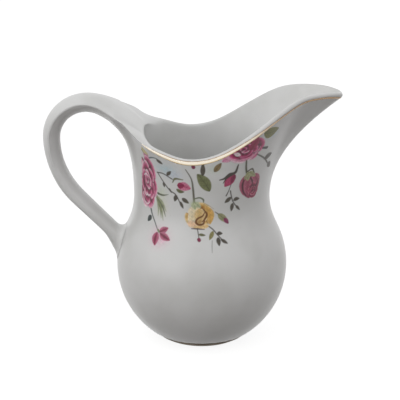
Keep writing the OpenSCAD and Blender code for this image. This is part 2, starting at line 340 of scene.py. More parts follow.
def new_finish(name):
    """A material, its shader and the Object coordinates that its patterns read."""
    finish = bpy.data.materials.new(name)
    finish.use_nodes = True
    tree = finish.node_tree
    shader = tree.nodes["Principled BSDF"]
    place = Socket(tree, tree.nodes.new("ShaderNodeTexCoord").outputs["Object"])
    return finish, shader, place


def glaze_finish(name, settings, printed=False):
    """Fired glaze: clouded white, a few flecks, an uneven gloss and a faint orange peel."""
    finish, shader, place = new_finish(name)
    cloud = place.noise(CLOUD_SCALE, 3.0).step(0.42, 0.68)
    fleck = place.noise(FLECK_SCALE, 0.0).step(0.83, 0.86)
    colour = cloud.mix(opaque(settings.porcelain), opaque(settings.pooled))
    colour = (fleck * 0.35).mix(colour, opaque(settings.fleck))
    rough = place.noise(GLOSS_SCALE) * 0.1 + (settings.gloss - 0.05)
    if printed:
        ink = place.layer(PRINT_LAYER, "Color")
        cover = place.layer(PRINT_LAYER, "Alpha")
        grain = place.noise(INK_SCALE, 1.0) * 0.3 + 0.85
        colour = cover.mix(colour, BLACK).add_colour(grain.mix(BLACK, ink))
        rough = rough + cover * 0.06
    colour.feed(shader, "Base Color")
    rough.feed(shader, "Roughness")
    shader.inputs["IOR"].default_value = GLAZE_IOR
    fine, coarse = PEEL_SCALES
    peel = place.noise(fine, 1.0) + place.noise(coarse, 1.0) * 3.0
    peel.relief(shader, 0.12, PEEL_DEPTH)
    return finish


def gilt_finish(name, settings):
    """Burnished gold: a painted highlight in the middle, paler gold below, brown above as worn gold and
    painted shade, painted shade on the beak; rubbed.
    """
    finish, shader, place = new_finish(name)
    rub = place.noise(RUB_SCALE, 3.0)
    rise = place.layer(GILT_LAYER, "Fac") + (rub - 0.5) * 0.25
    beak = place.coordinate("X").step(BEAK_MM[0] * MM, BEAK_MM[1] * MM)
    # Painted highlight: the middle of the line is near white, and its lower edge keeps the paler gold.
    colour = rise.step(0.0, 0.4).mix(opaque(settings.pale), opaque(settings.bright))
    # Painted shade: the upper edge browns as worn gold and shade, and the beak, which turns away from the
    # light, browns as painted shade.
    colour = rise.step(0.7, 0.95).at_least(beak * 0.8).mix(colour, opaque(settings.worn_and_shaded_gold))
    colour.feed(shader, "Base Color")
    (rub * 0.3 + (settings.gloss - 0.1)).feed(shader, "Roughness")
    shader.inputs["Metallic"].default_value = GILT_METALLIC
    rub.relief(shader, 0.2, RUB_DEPTH)
    return finish


def biscuit_finish(name, settings):
    """Bare fired clay: matt, finely grained and a little stained."""
    finish, shader, place = new_finish(name)
    stain = place.noise(STAIN_SCALE, 4.0).step(0.4, 0.75)
    grain = place.noise(CLAY_SCALE, 3.0)
    colour = (stain * 0.6).mix(opaque(settings.biscuit), opaque(tint(STAINED_CLAY)))
    colour.feed(shader, "Base Color")
    (grain * 0.2 + 0.7).feed(shader, "Roughness")
    grain.relief(shader, 0.5, CLAY_DEPTH)
    return finish


# Handling of meshes

def pick(piece):
    """Makes a piece the only selected object."""
    bpy.ops.object.select_all(action="DESELECT")
    piece.select_set(True)
    bpy.context.view_layer.objects.active = piece


def triples(items, name):
    """A value of three parts at each item, such as the normal at each point."""
    flat = np.zeros(len(items) * 3, np.float32)
    items.foreach_get(name, flat)
    return flat.reshape(-1, 3)


def places(piece):
    """The points of a piece, in metres."""
    return triples(piece.data.vertices, "co").astype(float)


def put(piece, points):
    """Moves the points of a piece."""
    piece.data.vertices.foreach_set("co", points.astype(np.float32).ravel())
    piece.data.update()


@contextmanager
def editing(action=None):
    """Edit mode on the active piece, where an action first selects or deselects all of it."""
    bpy.ops.object.mode_set(mode="EDIT")
    if action:
        bpy.ops.mesh.select_all(action=action)
    yield
    bpy.ops.object.mode_set(mode="OBJECT")


def modify(piece, kind, **settings):
    """Adds a modifier with these settings to a piece and applies it."""
    modifier = piece.modifiers.new(kind.lower(), kind)
    for name, value in settings.items():
        setattr(modifier, name, value)
    pick(piece)
    bpy.ops.object.modifier_apply(modifier=modifier.name)


def copied(source, name):
    """A copy of a piece, with its own mesh."""
    piece = bpy.data.objects.new(name, source.data.copy())
    piece.data.name = name
    bpy.context.scene.collection.objects.link(piece)
    pick(piece)
    return piece


def node_copy(node, name):
    """A merged copy of a node of the frame, with its triangles paired into quads."""
    piece = copied(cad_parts[node], name)
    piece.data.materials.clear()
    bpy.ops.mesh.customdata_custom_splitnormals_clear()
    with editing("SELECT"):
        bpy.ops.mesh.remove_doubles(threshold=MERGE_GAP)
        bpy.ops.mesh.tris_convert_to_quads(face_threshold=QUAD_BEND, shape_threshold=QUAD_SKEW)
    return piece


def drop_faces(piece, unwanted):
    """Deletes the faces that are marked, and the points that only they held."""
    pick(piece)
    with editing("DESELECT"):
        bpy.ops.mesh.select_mode(type="FACE")
    piece.data.polygons.foreach_set("select", unwanted)
    with editing():
        bpy.ops.mesh.delete(type="FACE")
        bpy.ops.mesh.select_mode(type="VERT")


def crease(piece, below):
    """Holds the sharp edges of a piece that lie below a height."""
    pick(piece)
    with editing("DESELECT"):
        bpy.ops.mesh.select_mode(type="EDGE")
        bpy.ops.mesh.edges_select_sharp(sharpness=CORNER)
    heights = places(piece)[:, 2]
    for edge in piece.data.edges:
        edge.select = edge.select and heights[list(edge.vertices)].max() < below
    with editing():
        bpy.ops.transform.edge_crease(value=1.0)


def refine(piece):
    """Rounds a piece by subdivision."""
    modify(piece, "SUBSURF", levels=ROUNDING_LEVELS, render_levels=ROUNDING_LEVELS)
    bpy.ops.object.shade_smooth_by_angle(angle=CORNER)


def weld(first, *others):
    """Joins pieces into the first one and merges the points that they share."""
    pick(first)
    for piece in others:
        piece.select_set(True)
    bpy.ops.object.join()
    with editing("SELECT"):
        bpy.ops.mesh.remove_doubles(threshold=MERGE_GAP)


def ease(piece, weights, steps):
    """Smooths a piece where its points have weight."""
    group = piece.vertex_groups.new(name="eased")
    for i in np.flatnonzero(weights > 0):
        group.add([int(i)], float(weights[i]), "REPLACE")
    modify(piece, "SMOOTH", vertex_group=group.name, iterations=steps, factor=EASE_FACTOR)
    piece.vertex_groups.clear()


def open_edges(mesh):
    """Marks the edges of a mesh that only one face uses."""
    sides = np.zeros(len(mesh.loops), np.int32)
    mesh.loops.foreach_get("edge_index", sides)
    return np.bincount(sides, minlength=len(mesh.edges)) == 1


def open_rim(mesh):
    """Marks the points on the open edges of a mesh."""
    ends = np.zeros(len(mesh.edges) * 2, np.int32)
    mesh.edges.foreach_get("vertices", ends)
    rim = np.zeros(len(mesh.vertices), bool)
    rim[ends.reshape(-1, 2)[open_edges(mesh)].ravel()] = True
    return rim


def surface_tree(mesh):
    """A tree that finds the nearest point of a mesh's surface."""
    points = [point.co for point in mesh.vertices]
    return BVHTree.FromPolygons(points, [list(face.vertices) for face in mesh.polygons])


# The joined body and handle

def draw_edges(piece, slot):
    """Draws the sides of the strap, whose faces have that material slot, in to a soft edge."""
    points = places(piece) / MM
    normals = triples(piece.data.vertices, "normal")
    out = points[:, ::2] - LOOP_MIDDLE_MM
    angle = np.degrees(np.arctan2(out[:, 1], out[:, 0])) % FULL_TURN
    out /= np.linalg.norm(out, axis=1)[:, None]
    facing = np.sum(normals[:, ::2] * out, axis=1)
    strap = (points[:, 0] < STRAP_START_MM) & (points[:, 2] > STRAP_FLOOR_MM) & (facing < 0)
    for face in piece.data.polygons:
        if face.material_index == slot:
            strap[list(face.vertices)] = True
    bins = (angle * WIDTH_BINS / FULL_TURN).astype(int)
    middles = (np.arange(WIDTH_BINS) + 0.5) * FULL_TURN / WIDTH_BINS
    moves = np.zeros(len(points))
    for side, depth in EDGE_DEPTHS_MM.items():
        own = strap & (facing * side > 0)
        widths = np.zeros(WIDTH_BINS)
        np.maximum.at(widths, bins[own], np.abs(points[own, 1]))
        widths = np.max([np.roll(widths, step) for step in (-1, 0, 1)], axis=0)
        wide = np.interp(angle, middles[widths > 0], widths[widths > 0])
        share = np.clip(np.abs(points[:, 1]) / wide, 0, 1)
        full = (1 - share ** STRAP_POWERS[side]) ** (1 / STRAP_POWERS[side])
        soft = (1 - share ** 2) ** EDGE_POWER
        weight = ramp(*ROOT_FADES[side], angle) * ramp(*TAIL_FADE, angle) * own
        moves += weight * depth * (full - soft) * np.clip(facing / FULL_FACING, -1, 1)
    points[:, ::2] -= out * moves[:, None]
    put(piece, points * MM)


def hold_seam(piece):
    """Notes the normals along the upper joint, so that the glaze runs on across it when it is parted."""
    kept = piece.data.attributes.new(SEAM_LAYER, "FLOAT_VECTOR", "POINT")
    kept.data.foreach_set("vector", triples(piece.data.vertices, "normal").ravel())


def use_seam(piece):
    """Shades the open rim of a parted piece with the normals noted along it."""
    mesh = piece.data
    kept = triples(mesh.attributes[SEAM_LAYER].data, "vector")
    kept = np.where(open_rim(mesh)[:, None], kept, 0)
    mesh.normals_split_custom_set_from_vertices(kept.tolist())
    mesh.attributes.remove(mesh.attributes[SEAM_LAYER])


def joint_plane():
    """The direction through the upper slip joint and the levels of its two faces along it."""
    points = places(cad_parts["upper_slip_joint"])
    axis = np.linalg.svd(points - points.mean(0), full_matrices=False)[2][2]
    levels = points @ axis
    return axis, levels.min(), levels.max()


def faces_in_joint(piece):
    """Marks the faces of a piece that lie flat against the upper slip joint, on either side of it."""
    axis, low, high = joint_plane()
    corner_low, corner_high = (np.array(corner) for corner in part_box("upper_slip_joint"))
    levels = places(piece) @ axis
    marks = []
    for face in piece.data.polygons:
        flat = abs(np.dot(face.normal, axis)) > FLAT_COSINE
        heights = levels[list(face.vertices)]
        inside = low - MERGE_GAP < heights.min() and heights.max() < high + MERGE_GAP
        middle = np.array(face.center)
        near = np.all(middle > corner_low - MM) and np.all(middle < corner_high + MM)
        marks.append(bool(flat and inside and near))
    return marks


def tie(piece, slot, *nodes):
    """Ties a piece to the frame, in place of the nodes that it shows."""
    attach(piece, "root")
    if nodes:
        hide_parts(*nodes)


# The print

# The transfer: soft edges of the inks, the neck's radius that places are measured on, and brush marks
SOFT_MM = 0.5
TURN_RADIUS_MM = 49.2
BRUSH_WAVES_MM = (2.1, 2.9, 3.7, 1.6, 5.2, 1.3, 4.4, 2.4)
BRUSH_SHARE = 0.045
WASH_FALL = 1.6
WASH_GRAIN_SHARE = 0.25

# Leaves: swell of the outline, half width of the vein, slant and rate of the ribs, blades of a feather
LEAF_SWELL = 0.75
VEIN_MM = (0.1, 0.5)
RIB_SLANT = 0.9
RIB_RATE = 3.2
RIB_SHARE = 0.35
BLADE_WIDTHS_MM = (0.9, 1.9, 0.3)
BLADE_BEND_MM = (1.0, 0.8)

# Petals of a rose: where its tones come in from base to edge, its seams and its streaks
DEEP_SPAN = (-0.1, 0.22)
MID_SPAN = (0.18, 0.48)
LIGHT_SPAN = (0.42, 0.78)
PALE_SPAN = (0.74, 1.0)
SEAM_MM = (0.1, 1.2)
STREAK_RATE = 26
STREAK_SHARE = 0.3

# Rings of petals, from the outer one in: share of the radius, number of petals and depth of the scallops
ROSE_RINGS = [(1.0, 6, 0.16), (0.74, 5, 0.2), (0.52, 4, 0.22), (0.32, 3, 0.24), (0.16, 3, 0.2)]
YELLOW_RINGS = [(1.0, 5, 0.1), (0.62, 4, 0.12)]
BUD_RINGS = [(1.0, 4, 0.1), (0.65, 3, 0.14), (0.36, 3, 0.16)]

# Inks of the roses, from pale to dark, of the leaves, as middle, edge and vein, and of the lines
PINK = ("f4e4e8", "dfa0b8", "c65c86", "961f4e", "4e0622")
LIP_PINK = ("efc6d6", "dc7ea6", "c24579", "8c1243", "46031c")
BUD = ("cf8496", "b0506a", "8f2c4c", "6e1834", "4a0a20")
CREAM = ("f3e6c8", "ead3a0", "dcb878", "c9994c", "8a5520")
DARK_LEAF = ("6b6c47", "55563a", "3c3a26")
OLIVE_LEAF = ("97915a", "77744a", "524a2a")
SPRIG_LEAF = ("514a3f", "3d372f", "26211b")
BARK_LEAF = ("3a3128", "4a4034", "1e1813")
STEM = "5b584c"
TWIG = "38322b"
MAROON = "7c2344"


def smooth_line(points, steps=8):
    """Points along a smooth line through the given ones."""
    knots = np.array(points, float)
    ends = np.vstack([2 * knots[0] - knots[1], knots, 2 * knots[-1] - knots[-2]])
    line = []
    for a, b, c, d in zip(ends, ends[1:], ends[2:], ends[3:]):
        for t in np.arange(steps) / steps:
            line.append(b + t * (c - a) / 2 + t * t * (2 * a - 5 * b + 4 * c - d) / 2
                        + t ** 3 * (3 * b - a - 3 * c + d) / 2)
    return np.array(line + [knots[-1]])


def soft_edge(depth):
    """Cover of an ink that lies that far inside its outline, in millimetres."""
    return ramp(-SOFT_MM / 2, SOFT_MM / 2, depth)


class Transfer:
    """Inks on the flat transfer, whose points lie at across and up, in millimetres."""

    def __init__(self, across, up):
        self.place = np.stack([across, up], -1)
        self.paint = np.zeros((len(across), 3))
        self.cover = np.zeros(len(across))

    def near(self, low, high):
        """The points between two corners."""
        return np.flatnonzero(np.all((self.place > low) & (self.place < high), axis=1))

    def lay(self, where, mask, colour):
        """Lays ink over what is there."""
        keep = 1 - mask
        self.paint[where] = self.paint[where] * keep[:, None] + np.asarray(colour) * mask[:, None]
        self.cover[where] = self.cover[where] * keep + mask

    def wash(self, middle, size, colour, strength):
        """A soft cloud of thin ink."""
        reach = np.multiply(size, 2)
        where = self.near(np.subtract(middle, reach), np.add(middle, reach))
        across, up = self.place[where].T
        off = (self.place[where] - middle) / size
        grain = wave(across * 1.7 + 2 * np.sin(up * 1.1))
        fade = np.exp(-WASH_FALL * np.sum(off ** 2, axis=1)) * (1 - WASH_GRAIN_SHARE * (1 - grain))
        self.lay(where, fade * strength, tint(colour))

    def stroke(self, points, widths, colour, strength=1.0):
        """A brush line through the points, whose width follows the given widths."""
        line = smooth_line(points)
        reach = max(widths) + SOFT_MM
        where = self.near(line.min(0) - reach, line.max(0) + reach)
        place = self.place[where]
        gap = np.full(len(where), np.inf)
        along = np.linspace(0, 1, len(line))
        wide = np.interp(along, np.linspace(0, 1, len(widths)), widths) / 2
        for i in range(len(line) - 1):
            run = line[i + 1] - line[i]
            share = np.clip((place - line[i]) @ run / (run @ run + 1e-9), 0, 1)
            off = np.linalg.norm(place - line[i] - share[:, None] * run, axis=1)
            gap = np.minimum(gap, off - (wide[i] + (wide[i + 1] - wide[i]) * share))
        self.lay(where, soft_edge(-gap) * strength, tint(colour))

    def mottle(self):
        """Makes the inks uneven, as if they were brushed on."""
        tone = np.zeros(len(self.cover))
        for i, length in enumerate(BRUSH_WAVES_MM):
            ahead = np.array([math.cos(i * 2.4), math.sin(i * 2.4)])
            tone += np.sin(self.place @ ahead * 2 * math.pi / length + i * 1.7)
        self.paint *= 1 + BRUSH_SHARE * tone[:, None]

    def leaf(self, base, tip, width, colours, bend=0.0, full=0.8, vein=0.5):
        """A leaf or petal from its base to its tip: colours are its middle, its edge and its vein."""
        base, tip = np.array(base, float), np.array(tip, float)
        run = tip - base
        length = np.hypot(*run)
        ahead = run / length
        side = np.array([-ahead[1], ahead[0]])
        reach = width + abs(bend) + 1
        where = self.near(np.minimum(base, tip) - reach, np.maximum(base, tip) + reach)
        off = self.place[where] - base
        along = off @ ahead / length
        t = np.clip(along, 0, 1)
        across = off @ side - bend * 4 * t * (1 - t)
        half = width / 2 * np.sin(np.pi * t ** full) ** LEAF_SWELL
        past = np.maximum(np.abs(along - 0.5) - 0.5, 0) * length
        mask = soft_edge(half - np.hypot(across, past * 3))
        middle, edge, line = (tint(c) for c in colours)
        turn = np.clip(np.abs(across) / (half + 0.2), 0, 1)
        ribs = wave((along * length - np.abs(across) * RIB_SLANT) * RIB_RATE)
        colour = blend(middle, edge, turn ** 1.5 * 0.8)
        colour = blend(colour, line, (1 - ramp(*VEIN_MM, np.abs(across))) * vein * (1 - 0.5 * t))
        colour = blend(colour, line, ribs * vein * RIB_SHARE * (turn < 0.9))
        self.lay(where, mask, colour)

    def feather(self, base, tips, tones):
        """A leaf of loose blades that run from one base to many tips."""
        for i, tip in enumerate(tips):
            middle = np.add(base, tip) / 2 + BLADE_BEND_MM
            self.stroke([base, middle, tip], BLADE_WIDTHS_MM, tones[i % len(tones)], 0.9)

    def rose(self, middle, radius, turn, rings, colours, lean=(0, 0), squash=1.0):
        """An open rose of scalloped rings of petals, each a share of the radius, from the outer ring in."""
        pale, light, mid, deep, dark = (tint(c) for c in colours)
        reach = radius * 1.35 * np.array([squash, 1])
        where = self.near(np.array(middle) - reach, np.array(middle) + reach)
        shares = [ring[0] for ring in rings] + [0]
        # Odd factors of the ring's and the petal's number make the petals uneven, always in the same way
        for k, (share, petals, scallop) in enumerate(rings):
            off = (self.place[where] - middle - np.array(lean) * (1 - share)) / (squash, 1)
            if k:
                off -= radius * 0.07 * np.array([math.sin(k * 2.3 + turn), math.cos(k * 1.7 + turn)])
            far = np.hypot(off[:, 0], off[:, 1]) + 1e-6
            angle = np.arctan2(off[:, 1], off[:, 0]) + turn + k * 1.9
            angle = angle + 0.2 * np.sin(2 * angle + k) + 0.3 * far / radius
            lobe = (angle * petals / (2 * np.pi)) % 1
            number = np.floor(angle * petals / (2 * np.pi)) % petals
            size = 1 + 0.09 * np.sin(number * 2.4 + k * 1.3)
            edge = radius * share * size * (1 - scallop + scallop * np.sin(np.pi * lobe) ** 0.6)
            cover = shares[k + 1] / share
            out = (far / edge - cover) / (1 - cover)
            shade = np.sin(number * 3.7 + k * 2.1)
            tone = out + 0.2 * shade + 0.12 * np.sin(lobe * np.pi * 2 + number)
            colour = blend(dark, deep, ramp(*DEEP_SPAN, tone))
            colour = blend(colour, mid, ramp(*MID_SPAN, tone))
            colour = blend(colour, light, ramp(*LIGHT_SPAN, tone))
            colour = blend(colour, pale, ramp(*PALE_SPAN, tone) * (0.65 + 0.35 * shade))
            seam = np.minimum(lobe, 1 - lobe) * far * 2 * np.pi / petals
            colour = blend(colour, dark, (1 - ramp(*SEAM_MM, seam)) * (1 - ramp(0.4, 1.1, out) * 0.6))
            streak = wave(lobe * STREAK_RATE + 2.5 * np.sin(number * 5 + k))
            colour = blend(colour, mid, streak * STREAK_SHARE * (1 - ramp(0.6, 1.0, out)))
            self.lay(where, soft_edge(edge - far), colour)


def paint_washes(t):
    """Pale tints behind the flowers."""
    t.wash((-25, 140), (9, 4.5), "a9cdd8", 0.55)
    t.wash((-19, 136), (7, 4), "b7c6da", 0.5)
    t.wash((-30, 122), (6, 6), "c3cdb0", 0.5)
    t.wash((8, 141), (7, 4), "bccab4", 0.45)
    t.wash((47, 163), (6, 4), "a9c2d0", 0.5)
    t.wash((-30, 89), (7, 7), "e8c3d3", 0.5)


def paint_handle_rose(t):
    """The full rose beside the handle, its leaves, its stem and the pink flower below."""
    petal = ("9c2450", "d88fac", "660d30")
    t.wash((-30, 111), (5, 8), "cdcfa6", 0.6)
    t.feather((-35.2, 119.5), [(-33, 104), (-30.2, 103), (-28.4, 101.3), (-26.6, 104.4), (-26.2, 108.1)],
              ["9aa07e", "656c4e", "858b66", "575f42"])
    t.stroke([(-34, 121), (-29.2, 119.9), (-24.2, 121)], [1.6, 1.3, 0.3], "5a6046")
    t.stroke([(-34.5, 121.5), (-32.4, 119.8)], [1.3, 0.6], "3a3028")
    t.stroke([(-37.4, 146.3), (-34, 147.4), (-30.5, 147.2), (-27.4, 144.6)], [1.1, 0.9, 0.8, 0.6], "44565a")
    t.leaf((-30.8, 146.6), (-26.4, 143.6), 2.4, SPRIG_LEAF)
    t.leaf((-41, 152), (-40.5, 141), 6, ("b45c82", "d99ab8", "7a1c48"))
    t.leaf((-46, 153), (-37.5, 148.6), 4.4, ("cdbd76", "e2d8aa", "6f6b3d"))
    t.stroke([(-45.5, 152), (-43.2, 148.8)], [1.2, 0.7], "4d5233")
    t.rose((-43.5, 126.8), 21.6, 0.4, ROSE_RINGS, PINK, lean=(0.5, 1), squash=0.48)
    blots = ([(-48.5, 145), (-46, 143.5), (-44.2, 140.5)], [(-42, 138), (-40, 134.5), (-39.6, 131)],
             [(-47.5, 128), (-46.2, 124.5), (-43.6, 122.5)], [(-41, 124.5), (-38.5, 122.5), (-37, 119.5)],
             [(-48.5, 116), (-46.5, 113), (-44, 111.8)], [(-42.5, 116.5), (-40, 114.5), (-38.6, 112)])
    for line in blots:
        t.stroke(line, [0.5, 1.9, 0.6], "640a2e", 0.85)
    gleams = ([(-46.5, 131.5), (-44.2, 132.8), (-41.6, 131.4)],
              [(-45, 118.8), (-42.8, 117.2), (-40.2, 118)])
    for line in gleams:
        t.stroke(line, [0.5, 1.4, 0.5], "f6e8ee", 0.8)
    t.stroke([(-40, 107.5), (-38.4, 103.7), (-35, 98.7), (-31.8, 94)], [1.4, 1.0, 0.9, 0.8], "4b5452")
    t.leaf((-39.4, 103), (-42.3, 98.2), 3.8, ("2e3836", "3b4541", "1d2422"))
    t.wash((-28.5, 90.5), (7.5, 7), "e3aac0", 0.75)
    t.leaf((-32, 92.8), (-31.4, 83.8), 5.6, petal, bend=-0.6)
    t.leaf((-30.2, 93.2), (-23.6, 97), 4.6, petal)
    t.leaf((-29.5, 92.2), (-21.2, 88.8), 5, petal)
    t.stroke([(-32.2, 91), (-32.5, 88), (-31.7, 85)], [0.8, 2.0, 0.6], "6e0c32", 0.85)
    t.stroke([(-29.6, 93.4), (-27, 95), (-25, 96)], [0.9, 1.6, 0.5], "6e0c32", 0.8)
    t.stroke([(-29.3, 92.3), (-26, 90.9), (-22.8, 89.4)], [1.0, 1.8, 0.6], "66102f", 0.9)
    t.stroke([(-31.4, 94.2), (-30.4, 93)], [1.6, 1.2], "6f7a52")


def paint_bud_sprigs(t):
    """The two sprigs that run from the full rose to the middle."""
    t.stroke([(-32, 136.5), (-27, 136.3), (-20.6, 133)], [0.9, 0.8, 0.8], TWIG)
    t.leaf((-24.5, 135.5), (-21, 139), 2.6, SPRIG_LEAF)
    t.stroke([(-20.5, 130.5), (-18.5, 133.5), (-13, 133.2)], [0.6, 1.6, 0.6], "6a6a4c")
    t.leaf((-17, 128.5), (-7.5, 126.8), 6.6, ("c76a88", "d79bb4", "8c2048"), bend=0.6, vein=0.8)
    t.leaf((-17.2, 128.6), (-12, 129), 4.6, ("8c2048", "a83a60", "6e1039"), vein=0.9)
    t.leaf((-18, 126), (-12, 124.3), 2.6, DARK_LEAF, bend=-0.8)
    t.stroke([(-31.5, 136), (-27.5, 130), (-23, 124.5), (-18.5, 121.5), (-14.5, 114)],
             [0.7, 0.8, 0.8, 0.9, 0.6], TWIG)
    t.leaf((-27.5, 130), (-27, 126), 2, SPRIG_LEAF)
    t.leaf((-23.5, 126), (-21.5, 122.5), 1.3, SPRIG_LEAF)
    t.leaf((-18, 121.5), (-19.5, 116.5), 3, SPRIG_LEAF)
    t.leaf((-14, 119.5), (-9, 116), 3, SPRIG_LEAF)
    t.leaf((-15.5, 117), (-13, 111.8), 2.2, SPRIG_LEAF)


def paint_yellow_rose(t):
    """The yellow rose at the middle, with its stem and sepals."""
    sepal = ("b7bf9b", "cfd3b4", "7f8a5e")
    fold = "6a3f14"
    t.stroke([(-11, 141), (-7.2, 134), (-6, 126), (-5.3, 116)], [0.6, 0.9, 1.4, 1.6], STEM)
    t.wash((-4.5, 115.5), (4.5, 3.5), "b4bf97", 0.9)
    t.rose((-1.9, 107), 9.6, 0.5, YELLOW_RINGS, CREAM)
    t.leaf((-3, 114.5), (-9.5, 103), 9.5, ("efe0bd", "f4e8cf", "e3cc98"), bend=1.5, vein=0.25)
    t.leaf((3, 114), (5.6, 100.8), 6, ("d2a558", "dfbc7c", "c4924a"), bend=1.6, vein=0.25)
    t.leaf((-10, 102), (-3, 100), 5, ("ecc7a3", "f2dcc2", "dcae80"), vein=0.2)
    t.leaf((5, 100), (-6, 98.8), 3.6, ("e6c288", "f0dcb8", "d3a562"), vein=0.2)
    t.leaf((-1.5, 112.5), (-1.5, 101), 7.5, ("e3c488", "ecd6a8", "cfa256"), vein=0.25)
    t.leaf((-6, 117), (-4.5, 111.5), 4, sepal)
    t.leaf((-5, 117), (-0.5, 113), 3.4, sepal)
    t.stroke([(-5, 119.6), (-1.5, 120.4), (1, 119), (1.2, 117)], [0.9, 1.1, 1.3, 0.7], "666c57")
    t.stroke([(1, 117), (5, 114.5), (8.5, 112)], [0.4, 0.5, 0.3], "b09a78", 0.8)
    t.wash((-2, 106), (7, 7), "a87c3c", 0.3)
    t.wash((-1.4, 102.8), (2.4, 1.8), "8a5a20", 0.8)
    t.stroke([(0.5, 112.5), (3.5, 108.5), (2.2, 105), (0.5, 103)], [0.6, 1.5, 1.3, 0.7], fold)
    t.stroke([(2.2, 110), (0.5, 107), (-3, 105), (-4, 102.5), (-2, 100.8), (1, 101.5), (2, 104)],
             [0.5, 1.1, 1.3, 1.6, 1.5, 1.3, 0.7], fold)


def paint_lip_leaf(t):
    """The broad leaf, the bud and the small leaves under the dip of the lip."""
    t.leaf((5.6, 125), (-3.2, 138), 8, ("666a44", "83865c", "3c3f26"), bend=-0.6, full=0.9, vein=0.7)
    t.leaf((0.6, 136.5), (0.8, 146), 3.4, SPRIG_LEAF)
    t.stroke([(-5.8, 143.3), (-5.6, 142.8)], [2.6, 2.6], "6d2440")
    t.leaf((8.4, 139.3), (13, 146), 4, ("7d6a48", "8d7a56", "4d3d26"))


def paint_low_sprigs(t):
    """The bud beside the yellow rose and the sprigs that hang below it."""
    t.stroke([(9.3, 109.8), (12, 107.8)], [0.5, 0.9], STEM)
    t.leaf((11.5, 108.2), (18.8, 101.5), 4.6, ("8c8a66", "a3a37e", "5d5c40"))
    t.leaf((15.8, 104.8), (19, 100.5), 3.2, ("7c2a50", "94456a", "5a1636"))
    t.stroke([(-7, 98), (-3, 98), (1.8, 97.6)], [0.6, 1.1, 0.5], "5a4c50")
    t.stroke([(-3, 98), (-2.4, 94.8), (-1.8, 91.5)], [0.6, 0.6, 0.6], TWIG)
    t.leaf((-2.2, 94.2), (2.6, 93.6), 1.8, DARK_LEAF)
    t.stroke([(-1.9, 90.8), (-1.7, 90.4)], [2.4, 2.4], MAROON)
    t.stroke([(5, 99.6), (7.8, 97.2), (10.5, 93.7), (13.5, 90.2)], [0.7, 0.8, 0.7, 0.7], TWIG)
    t.leaf((7.8, 96.3), (5, 90.4), 2.8, OLIVE_LEAF)
    t.leaf((10, 94), (14.2, 94.2), 2.6, SPRIG_LEAF, bend=0.5)
    t.leaf((10.8, 92), (11.2, 86.2), 2.9, SPRIG_LEAF)
    t.leaf((12.6, 90.6), (17, 87.3), 2.2, SPRIG_LEAF)
    t.stroke([(6.8, 90), (6.5, 86), (6.4, 82.2)], [0.4, 0.5, 0.3], "7d7a76", 0.8)


def paint_lip_rose(t):
    """The rose under the lip and the leaf and twig that run on to the beak."""
    t.leaf((20, 150), (13.3, 146.6), 6, ("d68fae", "ebc4d2", "b0557f"), bend=-0.6)
    t.rose((27, 155), 11, 1.0, ROSE_RINGS, LIP_PINK, squash=1.3)
    t.stroke([(17, 149), (22, 146.6), (27, 146.2), (32, 147.4), (36.5, 150.6), (39, 155)],
             [0.8, 2.6, 2.4, 2.2, 1.8, 0.6], "e4a6be", 0.8)
    t.stroke([(19, 147.4), (24, 145.4), (29, 145.4), (34, 147.4)], [0.4, 1.0, 1.1, 0.4], "f6e6ec", 0.85)
    t.leaf((31, 153.5), (35, 163.5), 5.5, ("8c1440", "a83a62", "5a0828"), bend=-0.6)
    t.leaf((21, 152.5), (25.2, 150.5), 2.8, ("f4e6ea", "f6eef0", "dca8ba"))
    t.leaf((38.2, 165.2), (50.2, 166.4), 8.5, ("6a6a22", "84823a", "34330f"), bend=-1.2, vein=0.8)
    t.stroke([(41.5, 153.4), (45.6, 152.6)], [1.6, 2.2], BARK_LEAF[2])
    t.stroke([(37.5, 149.5), (46.5, 144), (55, 136.5)], [0.8, 1.3, 1.1], BARK_LEAF[0])
    t.leaf((46.5, 144.3), (54.5, 146), 4.6, BARK_LEAF)
    t.leaf((52.6, 139.4), (57.5, 135), 4.4, BARK_LEAF)


def paint_small_rosebud(t):
    """The closed bud below the lip rose and its trailing sprig."""
    bark = "3a322b"
    t.leaf((22, 136.5), (15.8, 127.8), 6.8, ("b84a70", "963054", "6a1236"), bend=0.3)
    t.leaf((22.8, 136.5), (20.5, 130), 3.6, ("7a1840", "93305a", "5a0f2c"))
    t.stroke([(24.5, 143.5), (23, 138), (19, 136.7), (15.5, 134), (12.3, 133.1)],
             [1.0, 2.0, 2.2, 1.5, 0.8], bark)
    t.stroke([(21, 136.5), (17, 134), (14.8, 130.5)], [1.4, 1.2, 0.5], bark)
    t.stroke([(20.5, 129), (19, 124.5), (17.3, 121)], [0.5, 0.6, 0.9], TWIG)
    t.stroke([(20.3, 124.3), (21.5, 119), (23.5, 114.5), (28, 109.3)], [0.9, 0.8, 0.8, 0.6], TWIG)
    t.leaf((21, 119.5), (16.2, 115.8), 3, SPRIG_LEAF)
    t.leaf((22.8, 117), (27.8, 117.6), 2.8, SPRIG_LEAF, bend=0.5)
    t.leaf((22.3, 115), (21.3, 109), 2.9, SPRIG_LEAF)
    t.leaf((24.8, 113), (28.3, 109), 2, SPRIG_LEAF)


